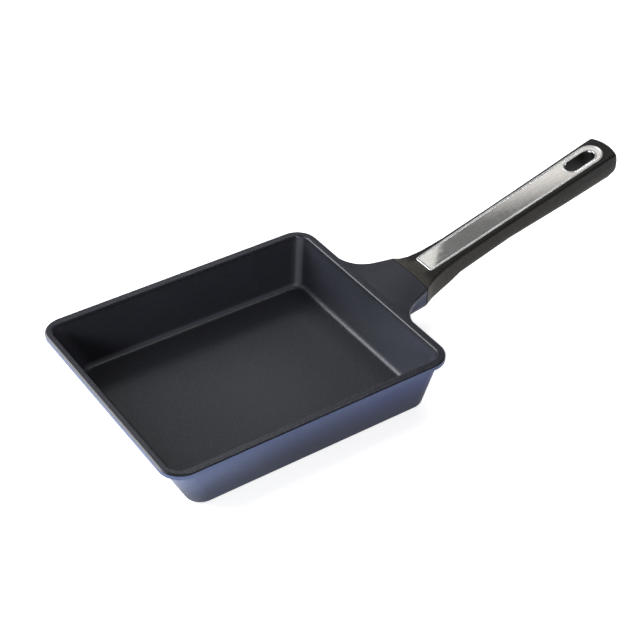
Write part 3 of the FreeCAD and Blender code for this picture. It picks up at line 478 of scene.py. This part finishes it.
def phenolic():
    """Satin warm-black moulding with a fine matt grain and rubbed places, painted light on its top faces,
    and painted shade on its upper sides and beside the trim.
    """
    n = Nodes(bpy.data.materials.new("moulded_phenolic"))
    spot = n.in_handle()
    upward = n.normal("True Normal")["Z"]
    grain = n.noise(scale=560.0, detail=5.0, roughness=0.75)
    rubbed = n.spread(n.noise(scale=45.0, detail=3.0), 0.5, 0.75)
    color = n.blend(n.spread(grain, 0.38, 0.62), GRIP_DARK, GRIP_PALE)
    color = n.blend(n.times(rubbed, RUBBED_SHARE), color, GRIP_RUBBED)

    # Painted light: the top faces paler, more towards the tail.
    top_light = n.zone(spot["X"], TOP_LIGHT_ALONG, 0.3, 0.9)
    color = n.blend(n.times(top_light, n.spread(upward, *TOP_FACING)), color, GRIP_TOP_LIGHT)
    # Painted shade: the grip's sides darker towards the top.
    upper_side_shade = n.zone(spot["Z"], UPPER_SIDE_SHADE_UP, smooth=True)
    upper_side_shade = n.times(upper_side_shade, n.spread(upward, *TOP_FACING, 1.0, 0.0))
    upper_side_shade = n.times(upper_side_shade, n.zone(spot["X"], UPPER_SIDE_SHADE_ALONG, 0.2, 0.9))
    color = n.blend(upper_side_shade, color, GRIP_SHADE)

    # Painted shade on the top band beside the trim from the throat on, and on the heel's outer sides.
    outer = n.zone(n.combine("ABSOLUTE", spot["Y"]), OUTER_ACROSS, smooth=True)
    heel = n.times(outer, n.zone(spot["X"], HEEL_ALONG, smooth=True))
    beside_trim = n.larger(n.zone(spot["X"], THROAT_ALONG, smooth=True), heel)
    trim_side_shade = n.times(n.zone(spot["Z"], TOP_UP, smooth=True), beside_trim)
    color = n.blend(n.times(trim_side_shade, TRIM_SIDE_SHADE_SHARE), color, GRIP_SHADE)

    gloss = n.spread(grain, 0.3, 0.7, to_low=0.42, to_high=0.50)
    gloss = n.plus(gloss, n.times(rubbed, -0.06))
    normal = n.bump(grain, strength=0.30, distance=0.0005)
    return n.surface(color, gloss, 0.0, normal, specular=GRIP_SPECULAR)


def bright_trim():
    """Chrome: bright field with a faint lengthwise brush and haze, satin bead and lip."""
    n = Nodes(bpy.data.materials.new("bright_chrome"))
    bead = n.zone(n.in_handle()["Z"], BEAD_UP)
    brushed = n.noise(scale=900.0, detail=3.0, roughness=0.6, place=n.stretched(TRIM_BRUSH))
    haze = n.spread(n.noise(scale=60.0, detail=3.0), 0.4, 0.7)
    field = n.blend(n.spread(brushed, 0.3, 0.7), FIELD_DARK, FIELD_PALE)
    gloss = n.spread(brushed, 0.35, 0.65, to_low=0.025, to_high=0.05)
    gloss = n.plus(gloss, n.times(haze, 0.015))
    normal = n.bump(n.mix(bead, brushed, 0.5), strength=0.012, distance=0.0002)
    return n.surface(n.blend(bead, field, BEAD_GREY), n.mix(bead, gloss, BEAD_ROUGHNESS), 1.0, normal)


def brushed_steel(name, pale, dark, brush):
    """Steel with a brushed grain and faint stains."""
    n = Nodes(bpy.data.materials.new(name))
    brushed = n.noise(scale=1400.0, detail=4.0, roughness=0.65, place=n.stretched(brush))
    stain = n.spread(n.noise(scale=55.0, detail=3.0), 0.45, 0.75)
    color = n.blend(n.spread(brushed, 0.3, 0.7), dark, pale)
    color = n.blend(n.times(stain, STAIN_SHARE), color, dark)
    gloss = n.spread(brushed, 0.3, 0.7, to_low=0.24, to_high=0.36)
    gloss = n.plus(gloss, n.times(stain, 0.08))
    normal = n.bump(brushed, strength=0.08, distance=0.0002, normal=n.rounded(STEEL_EDGE * MM))
    return n.surface(color, gloss, 1.0, normal)


def add_piece(name, mesh, node, look):
    """Puts a mesh in the scene in the place of a solid."""
    piece = bpy.data.objects.new(name, mesh)
    bpy.context.scene.collection.objects.link(piece)
    mesh.materials.clear()
    mesh.materials.append(look)
    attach(piece, "root")
    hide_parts(node)


def shade(bm, sharp_angle):
    """Smooth shading with creases only at edges sharper than an angle."""
    for face in bm.faces:
        face.smooth = True
    for edge in bm.edges:
        edge.smooth = edge.calc_face_angle(0.0) < math.radians(sharp_angle)


def joint_edges(bm):
    """Outer edges of the grip's face at the joint."""
    face = JOINT[0] * MM
    edges = [edge for edge in bm.edges if all(abs(vert.co.x - face) < TOUCH * MM for vert in edge.verts)]
    heights = [vert.co.z for edge in edges for vert in edge.verts]
    middle = Vector((face, 0.0, sum(heights) / len(heights)))

    def outside(side):
        return abs(side.normal.x) < END_ON and side.normal.dot(side.calc_center_median() - middle) > 0

    return [edge for edge in edges if any(outside(side) for side in edge.link_faces)]


def share_between(start, end, number):
    """Share of the way from a start to an end, from 0 to 1."""
    return min(max((number - start) / (end - start), 0.0), 1.0)


def round_tail(bm):
    """Swells the end of the tail at half its height, with cuts for the curve to follow."""
    place = handle_place()
    back = place.inverted()
    up = place.to_3x3() @ Vector((0.0, 0.0, 1.0))

    def beyond_start(face):
        return all((back @ vert.co).x > TAIL_START * MM for vert in face.verts)

    for step in range(1, TAIL_CUTS):
        height = TAIL_LOW + (TAIL_HIGH - TAIL_LOW) * step / TAIL_CUTS
        faces = [face for face in bm.faces if beyond_start(face)]
        edges = dict.fromkeys(edge for face in faces for edge in face.edges)
        verts = dict.fromkeys(vert for face in faces for vert in face.verts)
        bmesh.ops.bisect_plane(bm, geom=[*verts, *edges, *faces], dist=TOUCH * MM, plane_no=up,
                               plane_co=place @ Vector((0.0, 0.0, height * MM)))
    for vert in bm.verts:
        spot = back @ vert.co
        along = share_between(TAIL_START, TAIL_CORNER, spot.x / MM)
        height = share_between(TAIL_LOW, TAIL_HIGH, spot.z / MM)
        vert.co.x += TAIL_SWELL * MM * along * math.sin(math.pi * height)


def make_grip(look):
    """Grip as one flowing moulding, eased at the joint and swollen at the tail's end."""
    mesh = frame["nodes"]["handle_grip"].data.copy()
    bm = bmesh.new()
    bm.from_mesh(mesh)
    bmesh.ops.remove_doubles(bm, verts=bm.verts, dist=WELD * MM)
    bmesh.ops.bevel(bm, geom=joint_edges(bm), offset=JOINT_EASE * MM, segments=EASE_STEPS, profile=0.5,
                    affect="EDGES")
    round_tail(bm)
    shade(bm, GRIP_CREASE)
    bm.to_mesh(mesh)
    bm.free()
    if "custom_normal" in mesh.attributes:
        mesh.attributes.remove(mesh.attributes["custom_normal"])
    mesh.name = "moulded_grip"
    add_piece("moulded_grip", mesh, "handle_grip", look)


def sweep(centre, radius, first, last, steps):
    """Points on an arc, anticlockwise, with both ends."""
    angles = [first + (last - first) * step / steps for step in range(steps + 1)]
    return [(centre[0] + radius * math.cos(a), centre[1] + radius * math.sin(a)) for a in angles]


def trim_outline(inset):
    """Outline of the trim moved inwards."""
    small, large = TRIM_CORNER_RADIUS, TRIM_FAR_RADIUS
    near = (TRIM_START + small, TRIM_HALF_WIDTH - small)
    far = (TRIM_END - large, 0.0)
    along, across = far[0] - near[0], -near[1]
    turn = math.atan2(across, along) - math.asin((small - large) / math.hypot(along, across))
    quarter = math.pi / 2
    low = sweep((near[0], -near[1]), small - inset, 2 * quarter, 3 * quarter - turn, CORNER_STEPS)
    end = sweep(far, large - inset, -quarter - turn, quarter + turn, FAR_STEPS)
    high = sweep(near, small - inset, quarter + turn, 2 * quarter, CORNER_STEPS)
    return low + end + high


def slot_outline(grow):
    """Outline of the hang slot moved outwards."""
    radius = SLOT_RADIUS + grow
    quarter = math.pi / 2
    far = sweep((SLOT_END - SLOT_RADIUS, 0.0), radius, -quarter, quarter, SLOT_STEPS)
    near = sweep((SLOT_START + SLOT_RADIUS, 0.0), radius, quarter, 3 * quarter, SLOT_STEPS)
    return far + near


def trim_profiles():
    """Sections of the trim's edge and of its slot: shifts of the outline, with heights."""
    angles = [math.pi * step / BEAD_STEPS for step in range(BEAD_STEPS + 1)]
    middle = BEAD_WIDTH / 2
    foot = TRIM_FIELD + BEAD_FOOT
    edge = [(0.0, TRIM_BOTTOM)]
    edge += [(middle - middle * math.cos(a), foot + (TRIM_TOP - foot) * math.sin(a)) for a in angles]
    edge += [(BEAD_WIDTH + step, TRIM_FIELD + rise) for step, rise in BEAD_RUN_OUT]
    slot = [(LIP_WIDTH + step, TRIM_FIELD + rise) for step, rise in LIP_RUN_OUT]
    slot += [(LIP_WIDTH * (1 - a / math.pi), TRIM_FIELD + LIP_RISE * math.sin(a)) for a in angles]
    slot += [(0.0, TRIM_BOTTOM)]
    return edge, slot


def ring(bm, points, height):
    """Points of a closed outline at a height."""
    return [bm.verts.new((x * MM, y * MM, height * MM)) for x, y in points]


def skin(bm, rings):
    """Faces from each ring to the next."""
    for lower, upper in zip(rings, rings[1:]):
        for i in range(len(lower)):
            j = (i + 1) % len(lower)
            bm.faces.new((lower[i], lower[j], upper[j], upper[i]))


def fill(bm, outer, inner):
    """Flat faces between two rings."""
    edges = [bm.edges.get((loop[i - 1], loop[i])) for loop in (outer, inner) for i in range(len(loop))]
    bmesh.ops.triangle_fill(bm, use_beauty=True, edges=edges)


def make_trim(look):
    """Trim with a half-round bead round its edge and a low rounded lip round the hang slot."""
    edge, slot = trim_profiles()
    bm = bmesh.new()
    border = [ring(bm, trim_outline(inset), height) for inset, height in edge]
    hole = [ring(bm, slot_outline(grow), height) for grow, height in slot]
    skin(bm, border)
    skin(bm, hole)
    fill(bm, border[-1], hole[0])
    fill(bm, border[0], hole[-1])
    bmesh.ops.recalc_face_normals(bm, faces=bm.faces)
    shade(bm, TRIM_CREASE)
    mesh = bpy.data.meshes.new("beaded_trim")
    bm.to_mesh(mesh)
    bm.free()
    mesh.transform(handle_place())
    add_piece("beaded_trim", mesh, "handle_trim", look)


def dress_nodes():
    """Gives each solid its material, and shows the grip and its trim as finer pieces."""
    fastener = brushed_steel("plated_steel", PLATED_PALE, PLATED_DARK, EVEN_BRUSH)
    grip_look, trim_look = phenolic(), bright_trim()
    make_grip(grip_look)
    make_trim(trim_look)
    looks = {
        "pan_body": coated_casting(),
        "induction_base": brushed_steel("base_sheet_steel", SHEET_PALE, SHEET_DARK, LONG_BRUSH),
        "handle_grip": grip_look,
        "handle_trim": trim_look,
        "handle_screw": fastener,
        "flat_washer": fastener,
        "lock_washer": fastener,
        "thread_insert": fastener,
    }
    for name, look in looks.items():
        frame["nodes"][name].material_slots[0].material = look


def make_floor():
    """Pale floor that shows as white, in reflections too, with the object's soft shadow on it."""
    mesh = bpy.data.meshes.new("floor")
    sides = ((-1, -1), (1, -1), (1, 1), (-1, 1))
    corners = [(x * STUDIO_REACH, y * STUDIO_REACH, -STUDIO_DROP) for x, y in sides]
    mesh.from_pydata(corners, [], [(0, 1, 2, 3)])
    floor = bpy.data.objects.new("floor", mesh)
    bpy.context.scene.collection.objects.link(floor)
    n = Nodes(bpy.data.materials.new("pale_floor"))
    matt = n.add("ShaderNodeBsdfDiffuse")
    n.feed(matt.inputs["Color"], n.blend(n.noise(scale=3.0), STUDIO_GREY, STUDIO_WHITE))
    glow = n.add("ShaderNodeEmission")
    glow.inputs["Color"].default_value = (*WHITE, 1)
    level = n.spread(n.distance((0.0, 0.0, 0.0)), *GLOW_REACH, *GLOW_LEVEL, smooth=True)
    n.feed(glow.inputs["Strength"], n.times(n.seen(), level))
    both = n.add("ShaderNodeAddShader")
    n.feed(both.inputs[0], matt.outputs[0])
    n.feed(both.inputs[1], glow.outputs[0])
    n.feed(n.output.inputs["Surface"], both.outputs[0])
    mesh.materials.append(n.owner)


def make_sky():
    """White band low round the scene where it is looked at, and a dimmer even light elsewhere."""
    n = Nodes(bpy.data.worlds.new("studio"), "ShaderNodeOutputWorld")
    bpy.context.scene.world = n.owner
    band = n.spread(n.axes(n.coordinates["Generated"])["Z"], *BAND_END, 1.0, 0.0)
    background = n.add("ShaderNodeBackground")
    background.inputs["Color"].default_value = (*WHITE, 1)
    n.feed(background.inputs["Strength"], n.spread(n.times(n.seen(), band), 0.0, 1.0, SKY_LEVEL, 1.0))
    n.feed(n.output.inputs["Surface"], background.outputs[0])


def make_softbox(name, place, target, size, power, color=WHITE, turn=0.0):
    """Rectangular soft light that faces a target, turned about the upright by degrees."""
    light = bpy.data.lights.new(name, "AREA")
    light.shape = "RECTANGLE"
    light.size, light.size_y = size
    light.energy = power
    light.color = color
    lamp = bpy.data.objects.new(name, light)
    aim = (Vector(target) - Vector(place)).to_track_quat("-Z", "Y")
    turned = Matrix.Rotation(math.radians(turn), 3, "Z").to_quaternion() @ aim
    lamp.matrix_world = Matrix.LocRotScale(Vector(place), turned, None)
    bpy.context.scene.collection.objects.link(lamp)


def hang_card(name, place, size, power, color, turn=0.0):
    """Soft light that faces straight down."""
    make_softbox(name, place, (place[0], place[1], 0.0), size, power, color, turn)


def make_back_cards():
    """Card for the tail end of the trim, and strips beside it that dim with the distance from it."""
    turn = math.radians(BACK_TURN)
    across = Vector((-math.sin(turn), math.cos(turn), 0.0))
    middle = FADE_MIDDLE + (FADE_STRIPS * FADE_WIDTH + BACK_WIDTH) / 2 * across
    hang_card("back_card", middle, (BACK_LENGTH, BACK_WIDTH), BACK_POWER, WARM, BACK_TURN)
    for strip in range(FADE_STRIPS):
        middle = FADE_MIDDLE + FADE_WIDTH * (strip - (FADE_STRIPS - 1) / 2) * across
        hang_card(f"back_card_fade_{strip}", middle, (BACK_LENGTH, FADE_WIDTH), FADE_POWER * (strip + 1),
                  WARM, BACK_TURN)


def make_lights():
    """Key behind the pan, cards high behind the handle, fill in front, and a light over the handle."""
    make_softbox("key_softbox", place=(-0.69, 0.77, 0.66), target=PAN_MIDDLE, size=(1.1, 0.85),
                 power=26.0, color=COOL)
    make_back_cards()
    hang_card("sheen_card", place=(0.525, 0.96, 1.00), size=(0.45, 0.28), power=1.0, color=COOL)
    hang_card("side_card", place=(0.302, 0.815, 1.004), size=(0.20, 0.12), power=0.052, color=CREAM,
              turn=SIDE_TURN)
    make_softbox("front_fill", place=(-0.72, -1.08, 0.45), target=PAN_MIDDLE, size=(0.22, 0.20), power=8.0)
    hang_card("edge_light", place=(0.40, 0.02, 1.05), size=(0.44, 0.24), power=2.2, color=COOL)


def make_camera():
    """Camera at the viewing angle of the reference view."""
    azimuth, elevation, roll = (math.radians(angle) for angle in (AZIMUTH, ELEVATION, ROLL))
    back = Vector((math.sin(azimuth) * math.cos(elevation), -math.cos(azimuth) * math.cos(elevation),
                   math.sin(elevation)))
    level_right = Vector((0, 0, 1)).cross(back).normalized()
    level_up = back.cross(level_right)
    right = math.cos(roll) * level_right + math.sin(roll) * level_up
    up = math.cos(roll) * level_up - math.sin(roll) * level_right
    data = bpy.data.cameras.new("camera")
    data.lens = LENS
    data.sensor_width = SENSOR
    camera = bpy.data.objects.new("camera", data)
    turn = Matrix((right, up, back)).transposed().to_4x4()
    camera.matrix_world = Matrix.Translation(OFFSET[0] * right + OFFSET[1] * up + OFFSET[2] * back) @ turn
    bpy.context.scene.collection.objects.link(camera)
    bpy.context.scene.camera = camera


clear_defaults()
dress_nodes()
make_floor()
make_sky()
make_lights()
make_camera()
bpy.context.scene.view_settings.view_transform = "Standard"
